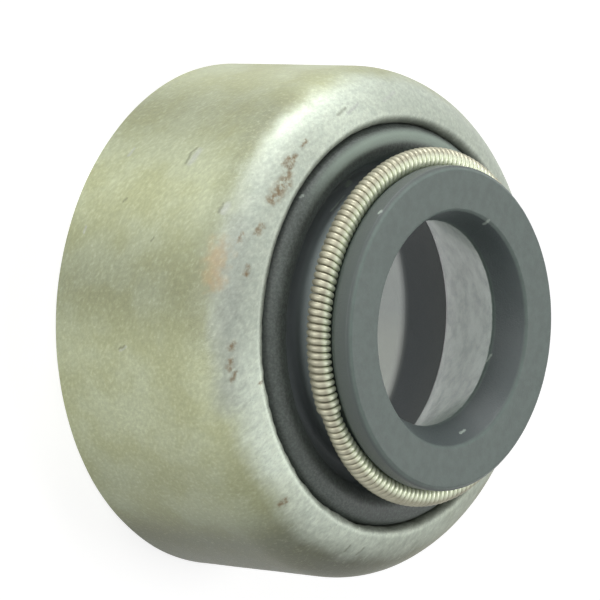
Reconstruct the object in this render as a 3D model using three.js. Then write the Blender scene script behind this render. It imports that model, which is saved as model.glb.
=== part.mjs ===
// Valve stem seal, pressed over an engine's valve guide to wipe the oil off the stem.
// Millimetres. +Z is the axis and points along the stem, to the end with the spring.
// The origin is the centre of the open rim, on the plane that the rim stands on.
import * as THREE from "three";

// The two engine parts that the seal fits.
const STEM_DIAMETER = 7.0;
const GUIDE_DIAMETER = 12.0;

// Steel shell: a pressed cup with a rounded shoulder and a hole through its end.
const SHELL_HEIGHT = 7.7; // rim to the top of the shoulder's circle
const SHELL_WALL = 0.9;
const SHOULDER_RADIUS = 2.3; // outside
const FLANGE_WIDTH = 1.85; // from the shell's side in to its hole
const HOLE_EDGE_RADIUS = 0.3;
const RIM_CHAMFER = 0.12;

// Rubber inside the shell.
const BOND = 0.02; // adhesive between rubber and steel
const RIM_RECESS = 0.4; // rubber stops short of the steel rim
const STOP_BELOW_SHOULDER = 2.15; // top of the shoulder down to the guide's stop
const GUIDE_GRIP = 0.1; // the socket is this much tighter than the guide, each side
const MOUTH_HEIGHT = 2.6; // flared lead-in
const MOUTH_EDGE = 0.73; // rubber left at the end of the flare

// Rubber outside the shell: bead, trough and neck.
const BEAD_RADIUS = 0.6;
const TROUGH_RADIUS = 0.27;
const NECK_UNDERCUT = 0.41; // the neck is this much narrower than the head, each side

// Rubber head with the lip.
const HEAD_ABOVE_SHELL = 2.2;
const HEAD_WALL = 1.475; // from the stem's opening out to the head's side
const HEAD_CHAMFER = 0.14;
const STEM_CLEARANCE = 0.325; // the opening in the head's face, each side
const OPENING_ROUND = 0.08;
const LIP_DEPTH = 1.06; // head's face down to the lip
const LIP_LAND = 0.1;
const LIP_GRIP = 0.14; // the free lip is this much tighter than the stem, each side
const CONE_FLARE = 1.59; // the cone behind the lip opens by this much, each side

// Garter spring round the head: a closed coil of wire.
const SPRING_DIAMETER = 0.81; // across the coil
const SPRING_WIRE = 0.185;
const SPRING_TURN_GAP = 0.023; // between turns, on the inside of the ring
const SPRING_PROUD = 0.585; // the spring stands out past the head's side
const SPRING_BELOW_FACE = 1.12; // head's face down to the spring's centre
const SPRING_CLEARANCE = 0.03;

const POCKET_LEDGE = 235; // degrees round from straight out, where the spring's pocket starts

// How many flats each curve is cut into.
const FLATS = {
  circle: 52,
  shoulder: 6,
  shoulderInside: 4,
  holeEdge: 4,
  bead: 8,
  trough: 5,
  pocket: 6,
  springTurn: 7,
  wire: 4,
};
const SAME_POINT = 0.001;

// Places that follow from the sizes, from the stem outwards.
const openingRadius = STEM_DIAMETER / 2 + STEM_CLEARANCE;
const lipRadius = STEM_DIAMETER / 2 - LIP_GRIP;
const headRadius = openingRadius + HEAD_WALL;
const neckRadius = headRadius - NECK_UNDERCUT;
const troughCentre = neckRadius + TROUGH_RADIUS;
const beadCentre = troughCentre + TROUGH_RADIUS + BEAD_RADIUS;
const holeRadius = beadCentre + BEAD_RADIUS + BOND;
const shellRadius = holeRadius + FLANGE_WIDTH;
const shellInside = shellRadius - SHELL_WALL;
const socketRadius = GUIDE_DIAMETER / 2 - GUIDE_GRIP;

// Heights that follow from the sizes, from the rim upwards.
const mouthTop = RIM_RECESS + MOUTH_HEIGHT;
const stopHeight = SHELL_HEIGHT - STOP_BELOW_SHOULDER;
const beadHeight = SHELL_HEIGHT - BEAD_RADIUS;
const faceHeight = SHELL_HEIGHT + HEAD_ABOVE_SHELL;
const lipHeight = faceHeight - LIP_DEPTH;

// The shoulder's inside and outside are arcs about one centre.
const shoulder = {
  x: shellRadius - SHOULDER_RADIUS,
  y: SHELL_HEIGHT - SHOULDER_RADIUS,
};

const spring = {
  ringRadius: headRadius + SPRING_PROUD - SPRING_DIAMETER / 2,
  coilRadius: (SPRING_DIAMETER - SPRING_WIRE) / 2,
  height: faceHeight - SPRING_BELOW_FACE,
};

// Materials, by their look in daylight.
const steel = new THREE.MeshStandardMaterial({
  color: 0xb4b79b,
  roughness: 0.38,
  metalness: 0.9,
});
const rubber = new THREE.MeshStandardMaterial({
  color: 0x2f3433,
  roughness: 0.62,
  metalness: 0,
});
const springSteel = new THREE.MeshStandardMaterial({
  color: 0xd8d4bb,
  roughness: 0.3,
  metalness: 0.95,
});

// Points of an arc about a centre, between two angles in degrees, both ends included.
function arc(centre, radius, from, to, flats) {
  return Array.from({ length: flats + 1 }, (_, i) => {
    const angle = THREE.MathUtils.degToRad(THREE.MathUtils.lerp(from, to, i / flats));
    return [centre.x + radius * Math.cos(angle), centre.y + radius * Math.sin(angle)];
  });
}

// A closed outline turned round the Z axis. It runs anticlockwise, up its outer side.
// Where two of its arcs meet, the point that they share is kept once.
function turned(name, outline, material) {
  const points = [...outline, outline[0]]
    .map(([radius, height]) => new THREE.Vector2(radius, height))
    .filter((point, i, all) => i === 0 || point.distanceTo(all[i - 1]) > SAME_POINT);
  const geometry = new THREE.LatheGeometry(points, FLATS.circle);
  geometry.rotateX(Math.PI / 2);
  const mesh = new THREE.Mesh(geometry, material);
  mesh.name = name;
  return mesh;
}

// Where the shoulder, or a layer under it, meets a cylinder: angle and height of that point.
function shoulderAt(arcRadius, cylinderRadius) {
  const across = Math.max(cylinderRadius - shoulder.x, 0);
  const rise = Math.sqrt(arcRadius ** 2 - across ** 2);
  return {
    angle: THREE.MathUtils.radToDeg(Math.atan2(rise, across)),
    height: shoulder.y + rise,
  };
}

// A layer of the shoulder from a cylinder inside it out to the side: flat first, if it is
// wide enough, then the arc. The side's end is level with the shoulder's centre.
function shoulderLayer(arcRadius, cylinderRadius) {
  const start = shoulderAt(arcRadius, cylinderRadius);
  return [
    [cylinderRadius, start.height],
    ...arc(shoulder, arcRadius, start.angle, 0, FLATS.shoulderInside),
  ];
}

function steelShell() {
  const edgeCentreRadius = holeRadius + HOLE_EDGE_RADIUS;
  const edge = shoulderAt(SHOULDER_RADIUS - HOLE_EDGE_RADIUS, edgeCentreRadius);
  const edgeCentre = { x: edgeCentreRadius, y: edge.height };
  const outline = [
    [shellInside + RIM_CHAMFER, 0],
    [shellRadius - RIM_CHAMFER, 0],
    [shellRadius, RIM_CHAMFER],
    ...arc(shoulder, SHOULDER_RADIUS, 0, edge.angle, FLATS.shoulder),
    ...arc(edgeCentre, HOLE_EDGE_RADIUS, edge.angle, 180, FLATS.holeEdge),
    ...shoulderLayer(SHOULDER_RADIUS - SHELL_WALL, holeRadius),
    [shellInside, RIM_CHAMFER],
  ];
  return turned("steel_shell", outline, steel);
}

function rubberBody() {
  const underShoulder = shoulderLayer(SHOULDER_RADIUS - SHELL_WALL - BOND, holeRadius - BOND);
  const pocketRadius = SPRING_DIAMETER / 2 + SPRING_CLEARANCE;
  const pocket = { x: spring.ringRadius, y: spring.height };
  const pocketMouth = THREE.MathUtils.radToDeg(
    Math.acos((headRadius - HEAD_CHAMFER / 2 - pocket.x) / pocketRadius),
  );
  const outline = [
    [shellInside - BOND, RIM_RECESS],
    ...underShoulder.reverse(),
    ...arc({ x: beadCentre, y: beadHeight }, BEAD_RADIUS, 0, 180, FLATS.bead),
    ...arc({ x: troughCentre, y: beadHeight }, TROUGH_RADIUS, 0, -180, FLATS.trough),
    [neckRadius, pocket.y - pocketRadius - HEAD_CHAMFER],
    ...arc(pocket, pocketRadius, POCKET_LEDGE, pocketMouth, FLATS.pocket),
    [headRadius, pocket.y + pocketRadius + HEAD_CHAMFER / 2],
    [headRadius, faceHeight - HEAD_CHAMFER],
    [headRadius - HEAD_CHAMFER, faceHeight],
    [openingRadius + OPENING_ROUND, faceHeight],
    [openingRadius, faceHeight - OPENING_ROUND],
    [lipRadius, lipHeight + LIP_LAND / 2],
    [lipRadius, lipHeight - LIP_LAND / 2],
    [lipRadius + CONE_FLARE, stopHeight],
    [socketRadius, stopHeight],
    [socketRadius, mouthTop],
    [shellInside - BOND - MOUTH_EDGE, RIM_RECESS],
  ];
  return turned("rubber_body", outline, rubber);
}

// The middle of the wire: a helix whose own axis is bent round into a ring.
class CoiledRing extends THREE.Curve {
  constructor(ringRadius, coilRadius, turns) {
    super();
    this.ringRadius = ringRadius;
    this.coilRadius = coilRadius;
    this.turns = turns;
  }

  // The direction from the coil's own axis out to the wire.
  outwards(t) {
    const round = 2 * Math.PI * t;
    const turn = round * this.turns;
    return new THREE.Vector3(
      Math.cos(turn) * Math.cos(round),
      Math.cos(turn) * Math.sin(round),
      Math.sin(turn),
    );
  }

  getPoint(t, target = new THREE.Vector3()) {
    const round = 2 * Math.PI * t;
    target.set(this.ringRadius * Math.cos(round), this.ringRadius * Math.sin(round), 0);
    return target.addScaledVector(this.outwards(t), this.coilRadius);
  }

  // Steps are even in turn angle, so that every turn gets the same flats.
  getPointAt(t, target) {
    return this.getPoint(t, target);
  }

  // The wire's section keeps one corner pointing away from the coil's axis.
  computeFrenetFrames(segments) {
    const frames = { tangents: [], normals: [], binormals: [] };
    const nudge = 1 / (segments * FLATS.springTurn);
    for (let i = 0; i <= segments; i++) {
      const t = i / segments;
      const tangent = this.getPoint(t + nudge).sub(this.getPoint(t - nudge)).normalize();
      const normal = this.outwards(t);
      frames.tangents.push(tangent);
      frames.normals.push(normal);
      frames.binormals.push(new THREE.Vector3().crossVectors(tangent, normal));
    }
    return frames;
  }
}

function garterSpring() {
  const insideLength = 2 * Math.PI * (spring.ringRadius - spring.coilRadius);
  const turns = Math.floor(insideLength / (SPRING_WIRE + SPRING_TURN_GAP));
  const path = new CoiledRing(spring.ringRadius, spring.coilRadius, turns);
  const steps = turns * FLATS.springTurn;
  const geometry = new THREE.TubeGeometry(path, steps, SPRING_WIRE / 2, FLATS.wire, true);
  const mesh = new THREE.Mesh(geometry, springSteel);
  mesh.name = "garter_spring";
  mesh.position.z = spring.height;
  return mesh;
}

const seal = new THREE.Group();
seal.name = "valve_stem_seal";
seal.add(steelShell(), rubberBody(), garterSpring());
export default seal;
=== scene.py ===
import math

import bpy
import numpy as np
from mathutils import Matrix, Vector, noise
from mathutils.bvhtree import BVHTree


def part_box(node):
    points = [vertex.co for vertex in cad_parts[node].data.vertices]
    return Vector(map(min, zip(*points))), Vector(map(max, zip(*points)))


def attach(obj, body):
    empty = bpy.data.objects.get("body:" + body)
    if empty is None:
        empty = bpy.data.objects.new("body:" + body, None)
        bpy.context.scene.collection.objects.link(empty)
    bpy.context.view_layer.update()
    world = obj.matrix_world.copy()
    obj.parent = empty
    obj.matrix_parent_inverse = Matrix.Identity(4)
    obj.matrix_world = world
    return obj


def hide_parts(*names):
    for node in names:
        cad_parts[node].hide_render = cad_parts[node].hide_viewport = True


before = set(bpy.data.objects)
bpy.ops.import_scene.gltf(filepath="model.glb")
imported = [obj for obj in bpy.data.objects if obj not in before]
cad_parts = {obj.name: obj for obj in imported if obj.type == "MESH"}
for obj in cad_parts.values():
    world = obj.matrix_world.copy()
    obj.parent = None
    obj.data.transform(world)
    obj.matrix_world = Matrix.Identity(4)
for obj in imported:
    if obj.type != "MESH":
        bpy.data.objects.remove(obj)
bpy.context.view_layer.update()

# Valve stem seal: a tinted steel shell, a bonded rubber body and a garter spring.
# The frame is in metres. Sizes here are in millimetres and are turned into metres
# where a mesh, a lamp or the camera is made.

MM = 0.001

# Sizes read from the frame.
SHELL_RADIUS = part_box("steel_shell")[1].x / MM
FACE_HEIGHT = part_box("rubber_body")[1].z / MM
SPRING_LOW, SPRING_HIGH = (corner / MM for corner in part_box("garter_spring"))
SPRING_DIAMETER = SPRING_HIGH.z - SPRING_LOW.z
SPRING_HEIGHT = (SPRING_HIGH.z + SPRING_LOW.z) / 2
SPRING_RING = SPRING_HIGH.x - SPRING_DIAMETER / 2

# Steel shell.
HEAD_ABOVE_SHELL = 2.2
SHELL_HEIGHT = FACE_HEIGHT - HEAD_ABOVE_SHELL
SHELL_WALL = 0.9
SHOULDER_RADIUS = 2.3
SHOULDER_CENTRE = (SHELL_RADIUS - SHOULDER_RADIUS, SHELL_HEIGHT - SHOULDER_RADIUS)
FLANGE_WIDTH = 1.85
HOLE_RADIUS = SHELL_RADIUS - FLANGE_WIDTH
HOLE_EDGE_RADIUS = 0.3
RIM_CHAMFER = 0.12

# Rubber body, from the shell in to the stem.
BOND = 0.02
RIM_RECESS = 0.4
BEAD_RADIUS = 0.6
TROUGH_RADIUS = 0.27
NECK_RADIUS = 4.89
HEAD_RADIUS = 5.3
HEAD_CHAMFER = 0.14
OPENING_RADIUS = 3.825
OPENING_ROUND = 0.08
LIP_RADIUS = 3.36
LIP_DEPTH = 1.06
LIP_HEIGHT = FACE_HEIGHT - LIP_DEPTH
LIP_LAND = 0.1
LIP_SHIFT = Vector((-0.13, 0.0, 0.0))
CONE_FOOT = 4.95
STOP_BELOW_SHOULDER = 2.15
STOP_HEIGHT = SHELL_HEIGHT - STOP_BELOW_SHOULDER
SOCKET_RADIUS = 5.9
MOUTH_TOP = 3.0
MOUTH_RADIUS = 6.85

# The cone's slope: radius lost for each mm of height.
CONE_SLOPE = (CONE_FOOT - LIP_RADIUS) / (LIP_HEIGHT - STOP_HEIGHT)

# Garter spring. Its pocket in the rubber starts at an angle in degrees from straight out.
# The wire's section is wider along the ring on the outside of the ring, by a share.
SPRING_CLEARANCE = 0.03
POCKET_RADIUS = SPRING_DIAMETER / 2 + SPRING_CLEARANCE
POCKET_LEDGE = 235
TURNS = 156
WIRE = 0.198
WIRE_WIDENING = 0.16

# The pitch of the turns isn't even: swing in radians, waves round the ring, phase.
PITCH_WAVES = [(0.5, 9, 0.4), (0.7, 4, 2.0)]

# The spring's ends join at one azimuth. The coil is smaller over a share of the ring past it.
JOINT_AZIMUTH = math.radians(-58)
JOINT_STEP = 0.08
JOINT_SHARE = 0.08

# How fine the meshes are: points round, and spacing along an outline in mm.
LATHE_STEPS = 360
FINE = 0.11
COARSE = 0.5
HOLE_EDGE_SPACING = 0.04
BEAD_SPACING = 0.07
TROUGH_SPACING = 0.06
POCKET_SPACING = 0.08
TURN_STEPS = 22
WIRE_SIDES = 9

# Corners of an outline that turn by more than some degrees are rounded off: radius, degrees.
SHELL_CORNERS = (0.06, 30)
RUBBER_CORNERS = (0.07, 12)

# Uneven surfaces: each has its height and the size of its lumps in mm, and its seed.
SHELL_DENTS = (0.012, 2.6, 1)
SHELL_RIPPLES = (0.004, 0.7, 2)
HOLE_WAVES = (0.03, 1.1, 3)
BEAD_LUMPS = (0.022, 0.9, 5)
RUBBER_LUMPS = (0.006, 0.35, 6)
BEAD_RISES = (0.02, 0.6, 7)
LIP_TEARS = (0.014, 0.13, 8)

# The burrs round the shell's hole: size and seed, then their height in mm, which is more on
# one side, growing over some mm from the axis.
HOLE_BURRS = (0.28, 4)
LEAST_BURR = 0.015
MORE_BURR = 0.03
BURR_SIDE = (0.8, -0.6, 0.0)
BURR_GROWTH = (0, 5)

# Where uneven surfaces and the shift of the lip begin or end, easing between two radii or
# two heights.
OUTSIDE_SHELL = (HOLE_RADIUS - 0.1, HOLE_RADIUS + 0.3)
HOLE_EDGE_END = (HOLE_RADIUS + 0.05, HOLE_RADIUS + 0.5)
BONDED = (HOLE_RADIUS - 0.1, HOLE_RADIUS - 0.02)
SHELL_TOP = (6.9, 7.2)
BEAD_START = (5.3, 5.6)
LIP_END = (3.38, 3.46)
LIP_START = (8.6, 8.8)
INSIDE_END = (5.0, 5.2)
ABOVE_STOP = (5.4, 5.7)
BELOW_FACE = (LIP_HEIGHT + 0.2, FACE_HEIGHT)

# The photograph and its camera, fitted to the rings of the part.
PHOTO = 600
FOCAL_PIXELS = 4358.17
SENSOR = 36.0
CAMERA_PLACE = Vector((0.0, -13.0306, 11.5533)) * SHELL_RADIUS
CAMERA_RIGHT = Vector((-0.066268, 0.649326, 0.757617))
CAMERA_UP = Vector((-0.997794, -0.046352, -0.047549))
CAMERA_BACK = Vector((0.004242, -0.759097, 0.650965))

# The brushing on the steel runs up to the right in the photograph.
GRAIN = (CAMERA_RIGHT * 0.68 + CAMERA_UP * 0.73).normalized()

# The lamps stand at one distance in mm. Each has its name, its direction from the part,
# its width in mm and its power in watts.
LAMP_DISTANCE = 150
LAMPS = [
    ("lamp_top", (-0.995, -0.09, 0.05), 65, 0.205),
    ("lamp_left", (-0.17, -0.98, 0.05), 65, 0.125),
    ("lamp_low", (0.64, -0.77, 0.05), 65, 0.022),
    ("lamp_upper", (-0.47, -0.67, 0.57), 60, 0.03),
    ("lamp_far", (0.0, 0.47, 0.88), 60, 0.07),
]

# The world's light on the part, and the white that is seen behind it.
WORLD_LIGHT = 0.16
WORLD_WHITE = 1.0

# The floor's own grey, and the white that is added to it where it is seen.
FLOOR_HALF = 400
FLOOR_COLOUR = (0.45, 0.45, 0.45, 1)
FLOOR_WHITE = 0.8
WHITE = (1, 1, 1, 1)


# Camera, floor, light


def make_camera():
    data = bpy.data.cameras.new("photo_camera")
    data.sensor_width = SENSOR
    data.lens = FOCAL_PIXELS * SENSOR / PHOTO
    data.clip_start = 0.01
    data.clip_end = 10
    camera = bpy.data.objects.new("photo_camera", data)
    axes = Matrix((CAMERA_RIGHT, CAMERA_UP, CAMERA_BACK)).transposed()
    camera.matrix_world = Matrix.Translation(CAMERA_PLACE * MM) @ axes.to_4x4()
    bpy.context.scene.collection.objects.link(camera)
    bpy.context.scene.camera = camera


def make_lamp(name, direction, width, power):
    """A square lamp that faces the part. The direction is from the part to the lamp."""
    data = bpy.data.lights.new(name, "AREA")
    data.size = width * MM
    data.energy = power
    lamp = bpy.data.objects.new(name, data)
    towards = Vector(direction).normalized()
    middle = Vector((0, 0, SHELL_HEIGHT / 2))
    lamp.location = (middle + towards * LAMP_DISTANCE) * MM
    lamp.rotation_mode = "QUATERNION"
    lamp.rotation_quaternion = towards.to_track_quat("Z", "Y")
    bpy.context.scene.collection.objects.link(lamp)


def seen_directly(graph):
    """1 for rays from the camera, and for what metal and glass show of the background."""
    path = graph.node("ShaderNodeLightPath")
    rays = [path.outputs[f"Is {kind} Ray"] for kind in ("Camera", "Glossy", "Transmission")]
    return graph.math("MAXIMUM", graph.math("MAXIMUM", rays[0], rays[1]), rays[2])


def make_world():
    world = bpy.data.worlds.new("studio")
    world.use_nodes = True
    graph = Graph(world.node_tree)
    light = graph.add("ShaderNodeBackground", {"Color": WHITE, "Strength": WORLD_LIGHT})
    white = graph.add("ShaderNodeBackground", {"Color": WHITE, "Strength": WORLD_WHITE})
    shown = graph.add("ShaderNodeMixShader", {0: seen_directly(graph), 1: light, 2: white})
    graph.add("ShaderNodeOutputWorld", {"Surface": shown})
    bpy.context.scene.world = world


def make_floor():
    half = FLOOR_HALF * MM
    corners = [(-half, -half, 0), (half, -half, 0), (half, half, 0), (-half, half, 0)]
    mesh = bpy.data.meshes.new("floor")
    mesh.from_pydata(corners, [], [(0, 1, 2, 3)])
    floor = bpy.data.objects.new("floor", mesh)
    material, graph = new_material("floor_white")
    paper = graph.add("ShaderNodeBsdfDiffuse", {"Color": FLOOR_COLOUR})
    glow = graph.math("MULTIPLY", seen_directly(graph), FLOOR_WHITE)
    white = graph.add("ShaderNodeEmission", {"Color": WHITE, "Strength": glow})
    both = graph.add("ShaderNodeAddShader", {0: paper, 1: white})
    graph.add("ShaderNodeOutputMaterial", {"Surface": both})
    mesh.materials.append(material)
    bpy.context.scene.collection.objects.link(floor)


# Node graphs


class Graph:
    """Adds nodes to a tree. Most methods give back the new node's output."""

    def __init__(self, tree):
        self.tree = tree
        tree.nodes.clear()

    def node(self, kind, inputs=None, **settings):
        node = self.tree.nodes.new(kind)
        for name, value in settings.items():
            setattr(node, name, value)
        for socket, value in (inputs or {}).items():
            if isinstance(value, bpy.types.NodeSocket):
                self.tree.links.new(value, node.inputs[socket])
            else:
                node.inputs[socket].default_value = value
        return node

    def add(self, kind, inputs=None, **settings):
        node = self.node(kind, inputs, **settings)
        return node.outputs[0] if node.outputs else None

    def math(self, operation, *values):
        return self.add("ShaderNodeMath", dict(enumerate(values)), operation=operation)

    def vector(self, operation, *values):
        inputs = dict(enumerate(values))
        return self.add("ShaderNodeVectorMath", inputs, operation=operation)

    def dot(self, a, b):
        node = self.node("ShaderNodeVectorMath", {0: a, 1: b}, operation="DOT_PRODUCT")
        return node.outputs["Value"]

    def length(self, a):
        return self.node("ShaderNodeVectorMath", {0: a}, operation="LENGTH").outputs["Value"]

    def scaled(self, a, factor):
        return self.add("ShaderNodeVectorMath", {0: a, "Scale": factor}, operation="SCALE")

    def grey(self, value):
        return self.add("ShaderNodeCombineXYZ", {0: value, 1: value, 2: value})

    def product(self, *values):
        total = values[0]
        for value in values[1:]:
            total = self.math("MULTIPLY", total, value)
        return total

    def step(self, value, low, high, to_low=0.0, to_high=1.0):
        """Eases from to_low, where the value is low, to to_high."""
        inputs = {
            "Value": value,
            "From Min": low,
            "From Max": high,
            "To Min": to_low,
            "To Max": to_high,
        }
        return self.add("ShaderNodeMapRange", inputs, interpolation_type="SMOOTHSTEP")

    def band(self, value, low, high, soft):
        """1 between two values, easing to 0 outside them."""
        rise = self.step(value, low - soft, low + soft)
        return self.product(rise, self.step(value, high - soft, high + soft, 1, 0))

    def mix(self, share, a, b, blend="MIX"):
        inputs = {0: share, 6: a, 7: b}
        node = self.node("ShaderNodeMix", inputs, data_type="RGBA", blend_type=blend)
        return node.outputs[2]

    def shaded(self, base, tone):
        """A colour times a tone."""
        return self.mix(1.0, base, self.grey(tone), "MULTIPLY")

    def noise(self, place, per_mm, detail, rough):
        inputs = {"Vector": place, "Scale": per_mm, "Detail": detail, "Roughness": rough}
        return self.add("ShaderNodeTexNoise", inputs)

    def place(self):
        """The place on the part, in millimetres."""
        coordinates = self.node("ShaderNodeTexCoord")
        return self.scaled(coordinates.outputs["Object"], 1 / MM)

    def shaken(self, place, distance, per_mm=7.0):
        """The place, moved about by noise, so that a mark's outline is uneven."""
        inputs = {"Vector": place, "Scale": per_mm, "Detail": 2.0}
        wobble = self.node("ShaderNodeTexNoise", inputs).outputs["Color"]
        shake = self.vector("SUBTRACT", wobble, (0.5, 0.5, 0.5))
        return self.vector("ADD", place, self.scaled(shake, distance))

    def parts(self, place):
        return self.node("ShaderNodeSeparateXYZ", {0: place}).outputs

    def height(self, place):
        return self.parts(place)["Z"]

    def radius(self, place):
        """How far a place is from the part's axis."""
        return self.length(self.vector("MULTIPLY", place, (1, 1, 0)))

    def towards(self, place, direction):
        """How much the side of the axis that a place is on faces a level direction."""
        return self.math("DIVIDE", self.dot(place, direction), self.radius(place))

    def stretched(self, place, direction, share):
        """The place, squeezed along a direction, so that noise is drawn out along it."""
        along = self.math("MULTIPLY", self.dot(place, direction), share - 1)
        return self.vector("ADD", place, self.scaled(tuple(direction), along))

    def bump(self, height, distance, strength=1.0):
        inputs = {"Strength": strength, "Distance": distance * MM, "Height": height}
        return self.add("ShaderNodeBump", inputs)

    def finish(self, inputs):
        surface = self.add("ShaderNodeBsdfPrincipled", inputs)
        self.add("ShaderNodeOutputMaterial", {"Surface": surface})


def new_material(name):
    material = bpy.data.materials.new(name)
    material.use_nodes = True
    return material, Graph(material.node_tree)


def colour(red, green, blue):
    """A colour written in screen values from 0 to 255, as the linear one that nodes take."""

    def linear(value):
        share = value / 255
        return share / 12.92 if share <= 0.04045 else ((share + 0.055) / 1.055) ** 2.4

    return (linear(red), linear(green), linear(blue), 1.0)


# Outlines


def arc(centre, radius, start, end, spacing=FINE):
    """Points of an arc between two angles in degrees, both ends included."""
    count = max(4, math.ceil(radius * math.radians(abs(end - start)) / spacing))
    angles = np.radians(np.linspace(start, end, count + 1))
    return [(centre[0] + radius * math.cos(a), centre[1] + radius * math.sin(a)) for a in angles]


def softened(outline, radius, sharp, steps=4):
    """A closed outline with every corner sharper than a few degrees rounded off."""
    points = [Vector(p) for p in outline]
    soft = []
    for i, point in enumerate(points):
        before = points[i - 1] - point
        after = points[(i + 1) % len(points)] - point
        turn = math.pi - before.angle(after)
        if math.degrees(turn) < sharp:
            soft.append(point)
            continue
        cut = min(radius * math.tan(turn / 2), 0.45 * before.length, 0.45 * after.length)
        start = point + before.normalized() * cut
        end = point + after.normalized() * cut
        for k in range(steps + 1):
            t = k / steps
            soft.append(start.lerp(point, t).lerp(point.lerp(end, t), t))
    return soft


def spaced(outline, spacing):
    """A closed outline whose long stretches are cut up. The spacing may follow the place."""
    points = []
    for i, start in enumerate(outline):
        end = outline[(i + 1) % len(outline)]
        length = (end - start).length
        if length < 1e-6:
            continue
        count = max(1, math.ceil(length / spacing(start.lerp(end, 0.5))))
        points += [start.lerp(end, k / count) for k in range(count)]
    return points


def shoulder_height(arc_radius, radius):
    across = max(radius - SHOULDER_CENTRE[0], 0)
    return SHOULDER_CENTRE[1] + math.sqrt(arc_radius**2 - across**2)


def shoulder_angle(arc_radius, radius):
    rise = shoulder_height(arc_radius, radius) - SHOULDER_CENTRE[1]
    return math.degrees(math.asin(rise / arc_radius))


def shell_outline():
    inner = SHOULDER_RADIUS - SHELL_WALL
    inside = SHELL_RADIUS - SHELL_WALL
    edge_radius = HOLE_RADIUS + HOLE_EDGE_RADIUS
    edge_turn = shoulder_angle(SHOULDER_RADIUS - HOLE_EDGE_RADIUS, edge_radius)
    edge_height = shoulder_height(SHOULDER_RADIUS - HOLE_EDGE_RADIUS, edge_radius)
    edge = (edge_radius, edge_height)
    outline = [
        (inside + RIM_CHAMFER, 0),
        (SHELL_RADIUS - RIM_CHAMFER, 0),
        (SHELL_RADIUS, RIM_CHAMFER),
        *arc(SHOULDER_CENTRE, SHOULDER_RADIUS, 0, edge_turn),
        *arc(edge, HOLE_EDGE_RADIUS, edge_turn, 180, HOLE_EDGE_SPACING)[1:],
        (HOLE_RADIUS, shoulder_height(inner, HOLE_RADIUS)),
        *arc(SHOULDER_CENTRE, inner, shoulder_angle(inner, HOLE_RADIUS), 0, COARSE)[1:],
        (inside, RIM_CHAMFER),
    ]

    def spacing(point):
        hidden = point.x < inside + 0.01 and point.y < edge_height
        return COARSE if hidden else FINE

    return spaced(softened(outline, *SHELL_CORNERS), spacing)


def rubber_outline():
    inner = SHOULDER_RADIUS - SHELL_WALL - BOND
    side = SHELL_RADIUS - SHELL_WALL - BOND
    hole = HOLE_RADIUS - BOND
    bead_height = SHELL_HEIGHT - BEAD_RADIUS
    trough = NECK_RADIUS + TROUGH_RADIUS
    pocket = (SPRING_RING, SPRING_HEIGHT)
    pocket_mouth = math.acos((HEAD_RADIUS - HEAD_CHAMFER / 2 - SPRING_RING) / POCKET_RADIUS)
    outline = [
        (side, RIM_RECESS),
        *arc(SHOULDER_CENTRE, inner, 0, shoulder_angle(inner, hole), COARSE),
        *arc((hole - BEAD_RADIUS, bead_height), BEAD_RADIUS, 0, 180, BEAD_SPACING),
        *arc((trough, bead_height), TROUGH_RADIUS, 0, -180, TROUGH_SPACING)[1:],
        (NECK_RADIUS, SPRING_HEIGHT - POCKET_RADIUS - HEAD_CHAMFER),
        *arc(pocket, POCKET_RADIUS, POCKET_LEDGE, math.degrees(pocket_mouth), POCKET_SPACING),
        (HEAD_RADIUS, SPRING_HEIGHT + POCKET_RADIUS + HEAD_CHAMFER / 2),
        (HEAD_RADIUS, FACE_HEIGHT - HEAD_CHAMFER),
        (HEAD_RADIUS - HEAD_CHAMFER, FACE_HEIGHT),
        (OPENING_RADIUS + OPENING_ROUND, FACE_HEIGHT),
        (OPENING_RADIUS, FACE_HEIGHT - OPENING_ROUND),
        (LIP_RADIUS, LIP_HEIGHT + LIP_LAND / 2),
        (LIP_RADIUS, LIP_HEIGHT - LIP_LAND / 2),
        (CONE_FOOT, STOP_HEIGHT),
        (SOCKET_RADIUS, STOP_HEIGHT),
        (SOCKET_RADIUS, MOUTH_TOP),
        (MOUTH_RADIUS, RIM_RECESS),
    ]

    def spacing(point):
        bonded = point.x > hole - 0.01
        return COARSE if bonded else FINE

    return spaced(softened(outline, *RUBBER_CORNERS), spacing)


# Meshes


def bumps(points, size, seed):
    """Smooth noise at each point, from about -1 to 1, with lumps of one size in mm."""
    offset = Vector((seed * 17.3, seed * 5.1, seed * 9.7))
    return np.array([noise.noise(Vector(p) / size + offset) for p in points])


def relief(points, height, size, seed):
    return height * bumps(points, size, seed)


def ease(values, low, high):
    """0 where the value is low and 1 where it is high, easing between."""
    t = np.clip((values - low) / (high - low), 0, 1)
    return t * t * (3 - 2 * t)


def make_piece(name, points, faces):
    mesh = bpy.data.meshes.new(name)
    mesh.from_pydata((np.asarray(points) * MM).tolist(), [], faces)
    mesh.polygons.foreach_set("use_smooth", [True] * len(mesh.polygons))
    mesh.update()
    piece = bpy.data.objects.new(name, mesh)
    bpy.context.scene.collection.objects.link(piece)
    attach(piece, "root")
    return piece


def grid_faces(around, along):
    """Quads of a grid that closes on itself both ways."""
    faces = []
    for i in range(around):
        for j in range(along):
            i2 = (i + 1) % around
            j2 = (j + 1) % along
            faces.append((i * along + j, i2 * along + j, i2 * along + j2, i * along + j2))
    return faces


def turned_points(outline):
    """The outline turned round the axis: one point for each step and outline point."""
    angles = np.linspace(0, 2 * math.pi, LATHE_STEPS, endpoint=False)
    flat = np.array([tuple(p) for p in outline])
    across = np.outer(np.cos(angles), flat[:, 0]).ravel()
    back = np.outer(np.sin(angles), flat[:, 0]).ravel()
    up = np.tile(flat[:, 1], LATHE_STEPS)
    return np.stack([across, back, up], axis=1)


def outwards(points):
    flat = points * (1, 1, 0)
    return flat / np.linalg.norm(flat, axis=1)[:, None]


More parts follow.
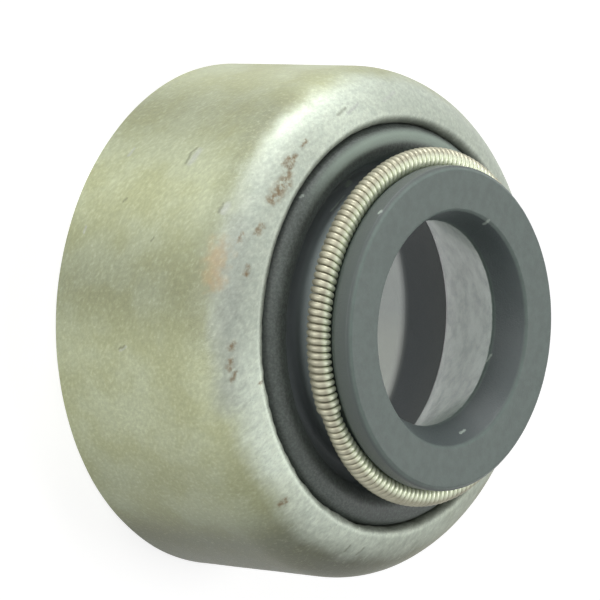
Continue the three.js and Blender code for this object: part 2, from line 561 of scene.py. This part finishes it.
def moved_out(points, distances):
    return points + outwards(points) * distances[:, None]


def hole_edge_shift(points, radius):
    """The ragged edge of the shell's hole: how far each point is moved out from the axis."""
    edge = (1 - ease(radius, *HOLE_EDGE_END)) * ease(points[:, 2], *SHELL_TOP)
    burr = LEAST_BURR + MORE_BURR * ease(points @ np.array(BURR_SIDE), *BURR_GROWTH)
    return edge * (relief(points, *HOLE_WAVES) + burr * bumps(points, *HOLE_BURRS))


def make_shell():
    outline = shell_outline()
    points = turned_points(outline)
    radius = np.hypot(points[:, 0], points[:, 1])
    dents = relief(points, *SHELL_DENTS) + relief(points, *SHELL_RIPPLES) - SHELL_DENTS[0]
    shift = dents * ease(radius, *OUTSIDE_SHELL) + hole_edge_shift(points, radius)
    points = moved_out(points, shift)
    faces = grid_faces(LATHE_STEPS, len(outline))
    piece = make_piece("shell", points, faces)
    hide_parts("steel_shell")
    return piece


def lumpy_rubber(points, radius, height):
    """The moulding's uneven bead and lip. Where it is bonded to the shell it isn't moved."""
    free = 1 - ease(radius, *BONDED)
    bead = ease(radius, *BEAD_START) * ease(height, *SHELL_TOP)
    lip = (1 - ease(radius, *LIP_END)) * ease(height, *LIP_START)
    lumps = bead * relief(points, *BEAD_LUMPS) + relief(points, *RUBBER_LUMPS)
    points = moved_out(points, lumps * free)
    points[:, 2] += bead * relief(points, *BEAD_RISES) * free
    return moved_out(points, lip * relief(points, *LIP_TEARS))


def make_rubber():
    outline = rubber_outline()
    points = turned_points(outline)
    radius = np.hypot(points[:, 0], points[:, 1])
    height = points[:, 2]
    inside = (1 - ease(radius, *INSIDE_END)) * ease(height, *ABOVE_STOP)
    shifted = inside * (1 - ease(height, *BELOW_FACE))
    points = lumpy_rubber(points, radius, height) + shifted[:, None] * np.array(LIP_SHIFT)
    faces = grid_faces(LATHE_STEPS, len(outline))
    piece = make_piece("rubber", points, faces)
    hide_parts("rubber_body")
    return piece


def spring_phase(share):
    """How far round its turns the wire is, at a share of the ring."""
    angle = 2 * math.pi * share
    uneven = sum(swing * np.sin(waves * angle + phase) for swing, waves, phase in PITCH_WAVES)
    return 2 * math.pi * TURNS * share + uneven


def coil_radius(azimuth):
    past = ((azimuth - JOINT_AZIMUTH) / (2 * math.pi)) % 1
    return (SPRING_DIAMETER - WIRE) / 2 - JOINT_STEP * (1 - ease(past, 0, JOINT_SHARE))


def make_spring():
    steps = TURNS * TURN_STEPS
    share = np.arange(steps) / steps
    azimuth = 2 * math.pi * share
    turn = spring_phase(share)
    outward = np.stack([np.cos(azimuth), np.sin(azimuth), np.zeros(steps)], axis=1)
    upward = np.array((0.0, 0.0, 1.0))
    from_axis = np.cos(turn)[:, None] * outward + np.sin(turn)[:, None] * upward
    coil = coil_radius(azimuth)[:, None]
    middle = outward * SPRING_RING + upward * SPRING_HEIGHT + from_axis * coil
    tangent = np.roll(middle, -1, axis=0) - np.roll(middle, 1, axis=0)
    tangent /= np.linalg.norm(tangent, axis=1)[:, None]
    side = np.cross(tangent, from_axis) * (1 + WIRE_WIDENING * np.cos(turn))[:, None]
    sides = []
    for k in range(WIRE_SIDES):
        angle = 2 * math.pi * k / WIRE_SIDES
        from_middle = math.cos(angle) * from_axis + math.sin(angle) * side
        sides.append(middle + from_middle * WIRE / 2)
    points = np.stack(sides, axis=1).reshape(-1, 3)
    faces = grid_faces(steps, WIRE_SIDES)
    piece = make_piece("spring", points, faces)
    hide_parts("garter_spring")
    return piece


# Marks that are placed by the photograph


class Photograph:
    """Finds the place on the part, in mm, that a pixel of the photograph shows."""

    def __init__(self, pieces):
        view = bpy.context.evaluated_depsgraph_get()
        self.trees = [BVHTree.FromObject(piece, view) for piece in pieces]

    def place(self, pixel):
        across = (pixel[0] - PHOTO / 2) / FOCAL_PIXELS
        down = (pixel[1] - PHOTO / 2) / FOCAL_PIXELS
        ray = (CAMERA_RIGHT * across - CAMERA_UP * down - CAMERA_BACK).normalized()
        hits = [tree.ray_cast(CAMERA_PLACE * MM, ray) for tree in self.trees]
        hits = [hit for hit in hits if hit[0] is not None]
        if not hits:
            raise ValueError(f"pixel {pixel} shows nothing of the part")
        return min(hits, key=lambda hit: hit[3])[0] / MM


# Each mark is a stroke between two pixels, with its half width in mm.
BROWN_STAINS = [
    ((271, 201), (279, 190), 0.14),
    ((277, 194), (285, 182), 0.20),
    ((283, 184), (289, 174), 0.13),
    ((285, 166), (289, 158), 0.10),
    ((290, 169), (295, 156), 0.08),
    ((302, 147), (306, 141), 0.06),
    ((231, 347), (233, 344), 0.10),
    ((229, 368), (230, 361), 0.10),
    ((232, 381), (236, 372), 0.07),
    ((281, 504), (285, 501), 0.11),
    ((257, 233), (262, 226), 0.10),
    ((246, 275), (249, 267), 0.08),
    ((239, 241), (243, 233), 0.06),
    ((261, 383), (263, 378), 0.05),
]
DARK_SCRATCHES = [
    ((338, 115), (345, 108), 0.05),
    ((186, 163), (192, 152), 0.05),
    ((192, 152), (197, 148), 0.04),
    ((123, 202), (127, 198), 0.04),
    ((219, 212), (223, 204), 0.05),
    ((345, 551), (350, 546), 0.05),
    ((357, 554), (364, 548), 0.05),
    ((300, 546), (304, 541), 0.04),
    ((119, 349), (124, 346), 0.03),
    ((151, 241), (154, 237), 0.03),
]
BRIGHT_NICKS = [
    ((191, 162), (199, 151), 0.12),
    ((223, 211), (228, 205), 0.10),
    ((129, 155), (134, 149), 0.06),
    ((84, 232), (86, 227), 0.05),
    ((120, 351), (126, 347), 0.03),
    ((348, 113), (358, 104), 0.05),
    ((384, 101), (394, 92), 0.05),
]
ORANGE_TINT = [((214, 280), (219, 248), 0.3)]
PURPLE_TINT = [((228, 400), (226, 330), 0.42), ((226, 330), (238, 225), 0.42)]
PALE_DEBRIS = [
    ((347, 186), (350, 182), 0.08),
    ((344, 196), (338, 203), 0.03),
    ((338, 203), (331, 211), 0.04),
    ((300, 197), (303, 195), 0.04),
    ((379, 213), (381, 211), 0.05),
    ((484, 224), (488, 221), 0.06),
    ((460, 433), (465, 430), 0.04),
    ((451, 358), (455, 354), 0.03),
    ((487, 361), (491, 355), 0.04),
    ((482, 367), (486, 361), 0.04),
]


def stroke(graph, place, start, end, width, soft):
    """1 on a stroke between two places, easing to 0 over its soft share of the width."""
    along = end - start
    near = graph.vector("SUBTRACT", place, tuple(start))
    share = graph.math("MULTIPLY", graph.dot(near, tuple(along)), 1 / along.length_squared)
    share = graph.math("MINIMUM", graph.math("MAXIMUM", share, 0.0), 1.0)
    off = graph.length(graph.vector("SUBTRACT", near, graph.scaled(tuple(along), share)))
    return graph.step(off, width * (1 - soft), width * (1 + soft), 1, 0)


def strokes(graph, place, photograph, marks, soft):
    masks = [
        stroke(graph, place, photograph.place(start), photograph.place(end), width, soft)
        for start, end, width in marks
    ]
    total = masks[0]
    for mask in masks[1:]:
        total = graph.math("MAXIMUM", total, mask)
    return total


# Materials


# Painted light and shade round the shell's side and round its worn shoulder, as a tone on the
# colour: azimuth in degrees, tone.
TINT_LIGHT_AND_SHADE = [
    (-180, 1.0),
    (-158, 1.12),
    (-141, 0.84),
    (-117, 1.3),
    (-95, 0.86),
    (-78, 1.27),
    (-64, 1.27),
    (-45, 1.02),
    (-26, 0.4),
    (-8, 0.28),
    (40, 0.7),
    (110, 1.05),
    (180, 1.0),
]
WORN_LIGHT_AND_SHADE = [
    (-180, 0.9),
    (-153, 1.12),
    (-134, 0.88),
    (-95, 0.78),
    (-69, 1.2),
    (-50, 1.32),
    (-22, 1.08),
    (30, 1.0),
    (150, 0.85),
    (180, 0.9),
]
TONE_RANGE = 2.0


def level(azimuth):
    """The level direction at an azimuth in degrees."""
    angle = math.radians(azimuth)
    return (math.cos(angle), math.sin(angle), 0.0)


# The wear ends at a height, easing between two, and reaches lower on one side by some mm.
MOST_WORN = level(-150)
WEAR_REACH = 0.42
WEAR_EDGE = (6.5, 7.4)

# Painted shade: the tint is darker on the shoulder on one side, to hold down a lamp's highlight
# there.
SHADED_SIDE = level(-115)
SHADED_SPAN = (0.72, 0.92)
SHADED_HEIGHTS = (5.2, 6.4)
SHADED_TONE = 0.74

# Painted shade along the edge of the shell's hole: two radii, and the tone at each.
HOLE_EDGE_SHADE = (HOLE_RADIUS + 0.02, HOLE_RADIUS + 0.34, 0.5, 1.0)

# Noise on the surfaces: lumps in each mm, detail, roughness.
GRAIN_NOISE = (9.0, 4.0, 0.65)
STREAK_NOISE = (4.0, 5.0, 0.6)
CLOUD_NOISE = (0.5, 3.0, 0.55)
PIT_NOISE = (22.0, 2.0, 0.6)
BREAK_NOISE = (6.0, 4.0, 0.6)
RUBBER_NOISE = (16.0, 3.0, 0.6)
MOTTLE_NOISE = (3.0, 4.0, 0.6)
SPECK_NOISE = (11.0, 3.0, 0.7)
SMEAR_NOISE = (1.6, 5.0, 0.65)
WIRE_NOISE = (2.0, 3.0, 0.6)

# The steel's colours: of two, the surface goes from one to the other.
OLIVE_TINT = (colour(160, 164, 129), colour(169, 175, 146))
WORN_STEEL = (colour(190, 200, 186), colour(205, 214, 198))
PIT_COLOUR = colour(120, 126, 112)
GLINT_COLOUR = colour(226, 232, 214)


# Painted light and shade: a tone that lightens or darkens the colour by azimuth.
def light_and_shade_round(graph, place, tones):
    x, y, _ = graph.parts(place)
    turn = graph.math("DIVIDE", graph.math("ARCTAN2", y, x), 2 * math.pi)
    node = graph.node("ShaderNodeValToRGB", {"Fac": graph.math("ADD", turn, 0.5)})
    ramp = node.color_ramp
    ramp.interpolation = "EASE"
    for i, (azimuth, tone) in enumerate(tones):
        position = azimuth / 360 + 0.5
        element = ramp.elements[i] if i < 2 else ramp.elements.new(position)
        element.position = position
        value = tone / TONE_RANGE
        element.color = (value, value, value, 1)
    return graph.math("MULTIPLY", node.outputs["Color"], TONE_RANGE)


def steel_marks(graph, place, photograph, base):
    """The tints, stains and scratches on the shell, laid over its base colour."""
    bent = graph.shaken(place, 0.22)
    slight = graph.shaken(place, 0.1)
    loose = graph.shaken(place, 1.0, 3.0)
    broken = graph.step(graph.noise(place, *BREAK_NOISE), 0.3, 0.6)
    layers = [
        (loose, PURPLE_TINT, 0.95, 0.45, colour(136, 140, 132)),
        (loose, ORANGE_TINT, 0.95, 0.5, colour(166, 136, 94)),
        (bent, BROWN_STAINS, 0.95, 0.95, colour(128, 110, 82)),
        (slight, BRIGHT_NICKS, 0.95, 0.6, colour(184, 188, 182)),
        (slight, DARK_SCRATCHES, 0.95, 0.5, colour(100, 102, 84)),
    ]
    for spot, marks, soft, strength, tint in layers:
        mask = graph.product(strokes(graph, spot, photograph, marks, soft), strength)
        if marks is BROWN_STAINS:
            mask = graph.product(mask, broken)
        base = graph.mix(mask, base, tint)
    return base


def worn_share(graph, place, clouds, streaks):
    """1 where the tint has worn off the shoulder, down to an uneven edge."""
    reach = graph.math("MULTIPLY", graph.towards(place, MOST_WORN), WEAR_REACH)
    edge = graph.math("ADD", graph.height(place), reach)
    edge = graph.math("ADD", edge, graph.step(clouds, 0.3, 0.7, -0.12, 0.12))
    edge = graph.math("ADD", edge, graph.step(streaks, 0.2, 0.8, -0.05, 0.05))
    return graph.step(edge, *WEAR_EDGE)


def steel_tint(graph, place, worn, clouds, streaks):
    """The olive tint, and the silvery steel where it is worn off, with painted light and shade
    round the side and painted shade on one side of the shoulder.
    """
    # Painted shade on the shoulder, on one side.
    dark = graph.step(graph.towards(place, SHADED_SIDE), *SHADED_SPAN)
    dark = graph.product(dark, graph.step(graph.height(place), *SHADED_HEIGHTS))
    tone = graph.step(dark, 0.0, 1.0, 1.0, SHADED_TONE)
    tone = graph.product(light_and_shade_round(graph, place, TINT_LIGHT_AND_SHADE), tone)
    olive = graph.shaded(graph.mix(graph.step(clouds, 0.35, 0.65), *OLIVE_TINT), tone)
    silver = graph.mix(graph.step(streaks, 0.25, 0.75), *WORN_STEEL)
    silver = graph.shaded(silver, light_and_shade_round(graph, place, WORN_LIGHT_AND_SHADE))
    return graph.mix(worn, olive, silver)


def steel_material(photograph):
    material, graph = new_material("olive_steel")
    place = graph.place()
    grain = graph.noise(graph.stretched(place, GRAIN, 0.6), *GRAIN_NOISE)
    streaks = graph.noise(graph.stretched(place, GRAIN, 0.5), *STREAK_NOISE)
    clouds = graph.noise(place, *CLOUD_NOISE)
    fine = graph.noise(place, *PIT_NOISE)

    worn = worn_share(graph, place, clouds, streaks)
    base = steel_tint(graph, place, worn, clouds, streaks)
    base = steel_marks(graph, place, photograph, base)
    # Painted shade darkens the steel towards the hole's edge; the grain varies the tone at
    # random.
    hole_edge = graph.math("ADD", graph.radius(place), graph.step(fine, 0.2, 0.8, -0.05, 0.05))
    edge_shade = graph.step(hole_edge, *HOLE_EDGE_SHADE)
    base = graph.shaded(base, graph.product(graph.step(grain, 0.25, 0.75, 0.86, 1.12), edge_shade))
    pits = graph.product(graph.step(fine, 0.36, 0.28), graph.step(worn, 0, 1, 0.15, 0.4))
    base = graph.mix(pits, base, PIT_COLOUR)
    glints = graph.product(graph.step(grain, 0.54, 0.72), 0.14)
    base = graph.mix(glints, base, GLINT_COLOUR)

    relief_height = graph.math("ADD", grain, graph.math("MULTIPLY", fine, 0.4))
    graph.finish(
        {
            "Base Color": base,
            "Metallic": 0.3,
            "Roughness": graph.step(grain, 0.2, 0.8, 0.42, 0.56),
            "Normal": graph.bump(relief_height, 0.016, graph.step(worn, 0, 1, 1.0, 0.35)),
        }
    )
    return material


# Zones of the rubber, by radius or height in mm. A band has two limits and how softly it
# ends, and the others have two limits that they ease between. A span, as on the steel,
# eases by how much a place's side faces a direction, where 1 is straight towards it.
BELOW_HEAD = (8.0, 8.3)
BEAD_BAND = (5.5, 6.8, 0.12)
TROUGH_BAND = (4.7, 5.42, 0.16)
# Painted highlight along the bead's crest, on the side that faces the top lamp.
CREST_BAND = (6.02, 6.4, 0.12)
CREST_SIDE = (-1.0, -0.1, 0.0)
CREST_SPAN = (0.6, 0.95)
NECK_EDGE = (4.95, 5.1)
NECK_BAND = (7.3, 8.3, 0.1)
HEAD_EDGE = (5.2, 5.28)
HEAD_HEIGHTS = (8.9, 9.0)
THROAT_EDGE = (3.9, 4.0)
THROAT_BAND = (8.92, 9.82, 0.06)
CONE_BAND = (STOP_HEIGHT - 0.05, LIP_HEIGHT - 0.04, 0.04)
CONE_EDGE = (0.2, 0.3)  # out from the cone's surface
LINING_EDGE = (7.3, 7.4)
BELOW_STOP = (5.6, 5.7)
SOCKET_HEIGHTS = (3.4, 5.4)
MOUTH_HEIGHTS = (2.4, 3.2)

# Where the painted light on the mouth, seen through the opening, is brightest.
BRIGHT_SIDE = level(73)
BRIGHT_SPAN = (0.92, 0.995)

# The rubber's colours: of two, the surface goes from one to the other.
RUBBER = (colour(97, 109, 104), colour(105, 119, 113))
DULL_BEAD = (colour(74, 80, 76), colour(98, 106, 101))
# Dust in the trough, and painted light that lifts the shade there.
TROUGH_DUST_AND_LIGHT = colour(136, 143, 145)
# Painted light on the neck under the spring, against the spring's shadow.
NECK_PAINTED_LIGHT = colour(122, 131, 130)
# Painted highlight on the bead's crest.
CREST_HIGHLIGHT = colour(140, 154, 143)
HEAD_SHADE = colour(80, 88, 85)
THROAT_SHADE = colour(68, 75, 77)
# Smears on the cone, and painted reflection of the bright open end.
CONE_SMEARS_AND_REFLECTION = (colour(128, 150, 138), colour(176, 196, 182))
# Painted shade and reflection in the socket: darker low down, lighter towards the stop.
SOCKET_SHADE_AND_REFLECTION = (colour(60, 70, 74), colour(96, 102, 100))
# Painted light on the mouth of the socket, brightest on one side.
MOUTH_PAINTED_LIGHT = (colour(150, 172, 158), colour(226, 238, 214))
DEBRIS_COLOUR = colour(178, 190, 180)

# How strong the rubber's shine is inside the seal.
MOUTH_SHINE = 0.95
CONE_SHINE = 0.8
SOCKET_SHINE = 0.1
CONE_FOOT_SHINE = 1.25
SHINE_HEIGHTS = (2.6, 3.2)
FOOT_HEIGHTS = (5.9, 6.5)


def cone_mask(graph, radius, z):
    """1 on the cone behind the lip, and 0 on the neck outside it."""
    slant = graph.math("ADD", radius, graph.math("MULTIPLY", z, CONE_SLOPE))
    surface = LIP_RADIUS + LIP_HEIGHT * CONE_SLOPE
    inner = graph.step(slant, surface + CONE_EDGE[0], surface + CONE_EDGE[1], 1, 0)
    return graph.product(inner, graph.band(z, *CONE_BAND))


def lining_mask(graph, radius, z):
    """1 on the rubber inside the shell, below the stop."""
    return graph.product(graph.step(radius, *LINING_EDGE, 1, 0), graph.step(z, *BELOW_STOP, 1, 0))


def smears(graph, place, low, high):
    return graph.step(graph.noise(place, *SMEAR_NOISE), 0.3, 0.7, low, high)


def outside_layers(graph, place, radius, z):
    """Where the rubber outside the shell is dull, dusty or darker, or has painted light or a
    painted highlight: masks and colours.
    """
    specks = graph.noise(place, *SPECK_NOISE)
    low = graph.step(z, *BELOW_HEAD, 1, 0)
    crest = graph.product(
        graph.band(radius, *CREST_BAND),
        graph.step(graph.towards(place, CREST_SIDE), *CREST_SPAN),
        low,
    )
    neck = graph.product(graph.step(radius, *NECK_EDGE, 1, 0), graph.band(z, *NECK_BAND))
    head = graph.product(graph.step(radius, *HEAD_EDGE), graph.step(z, *HEAD_HEIGHTS))
    throat = graph.product(graph.step(radius, *THROAT_EDGE, 1, 0), graph.band(z, *THROAT_BAND))
    dull = graph.mix(graph.step(specks, 0.35, 0.7), *DULL_BEAD)
    return [
        (graph.product(graph.band(radius, *BEAD_BAND), low), dull),
        (graph.product(graph.band(radius, *TROUGH_BAND), low), TROUGH_DUST_AND_LIGHT),
        (neck, NECK_PAINTED_LIGHT),
        (crest, CREST_HIGHLIGHT),
        (head, HEAD_SHADE),
        (graph.product(throat, 0.8), THROAT_SHADE),
    ]


def inside_layers(graph, place, radius, z):
    """The cone, the socket and its mouth, seen through the opening, with painted reflection,
    shade and light: masks and colours.
    """
    lining = lining_mask(graph, radius, z)
    mouth = graph.product(lining, graph.step(z, *MOUTH_HEIGHTS, 1, 0))
    facing = graph.towards(place, BRIGHT_SIDE)
    return [
        (cone_mask(graph, radius, z), graph.mix(smears(graph, place, 0, 1), *CONE_SMEARS_AND_REFLECTION)),
        (lining, graph.mix(graph.step(z, *SOCKET_HEIGHTS), *SOCKET_SHADE_AND_REFLECTION)),
        (mouth, graph.mix(graph.step(facing, *BRIGHT_SPAN), *MOUTH_PAINTED_LIGHT)),
    ]


def rubber_shine(graph, place, radius, z):
    """How strongly the rubber shines: on the cone in smears, and on the mouth."""
    foot = graph.step(z, *FOOT_HEIGHTS, CONE_FOOT_SHINE, 1.0)
    smeared = smears(graph, place, 0.82, 1.1)
    cone = graph.product(cone_mask(graph, radius, z), CONE_SHINE, smeared, foot)
    lining = graph.step(z, *SHINE_HEIGHTS, MOUTH_SHINE, SOCKET_SHINE)
    lining = graph.product(lining_mask(graph, radius, z), lining)
    return graph.math("MAXIMUM", cone, lining)


def rubber_material(photograph):
    material, graph = new_material("seal_rubber")
    place = graph.place()
    radius = graph.radius(place)
    z = graph.height(place)
    fine = graph.noise(place, *RUBBER_NOISE)
    mottle = graph.noise(place, *MOTTLE_NOISE)
    base = graph.mix(graph.step(mottle, 0.3, 0.7), *RUBBER)
    layers = outside_layers(graph, place, radius, z) + inside_layers(graph, place, radius, z)
    for mask, tint in layers:
        base = graph.mix(mask, base, tint)
    debris = strokes(graph, graph.shaken(place, 0.1, 9.0), photograph, PALE_DEBRIS, 0.7)
    base = graph.mix(graph.product(debris, 0.8), base, DEBRIS_COLOUR)
    graph.finish(
        {
            "Base Color": base,
            "Roughness": graph.step(fine, 0.2, 0.8, 0.42, 0.58),
            "Normal": graph.bump(fine, 0.012),
            "Coat Weight": rubber_shine(graph, place, radius, z),
            "Coat Roughness": 0.25,
            "Coat IOR": 3.0,
        }
    )
    return material


# The wire's mottled colour, and its painted highlight.
DULL_WIRE = (colour(160, 157, 137), colour(180, 178, 156))
WIRE_HIGHLIGHT = colour(230, 236, 210)


def spring_material():
    """Warm grey wire, with a painted highlight on the side of the coil that is next to the head.
    """
    material, graph = new_material("spring_wire")
    place = graph.place()
    mottle = graph.noise(place, *WIRE_NOISE)
    inward = graph.math("SUBTRACT", graph.height(place), graph.radius(place))
    inward = graph.math("SUBTRACT", inward, SPRING_HEIGHT - SPRING_RING)
    dull = graph.mix(graph.step(mottle, 0.3, 0.7), *DULL_WIRE)
    base = graph.mix(graph.step(inward, 0.0, 0.3), dull, WIRE_HIGHLIGHT)
    graph.finish({"Base Color": base, "Metallic": 0.5, "Roughness": 0.45})
    return material


make_camera()
make_floor()
make_world()
for lamp in LAMPS:
    make_lamp(*lamp)

shell = make_shell()
rubber = make_rubber()
spring = make_spring()
photograph = Photograph([shell, rubber, spring])
shell.data.materials.append(steel_material(photograph))
rubber.data.materials.append(rubber_material(photograph))
spring.data.materials.append(spring_material())

bpy.context.scene.view_settings.view_transform = "Standard"


def corners(box):
    return [list(corner) for corner in box]
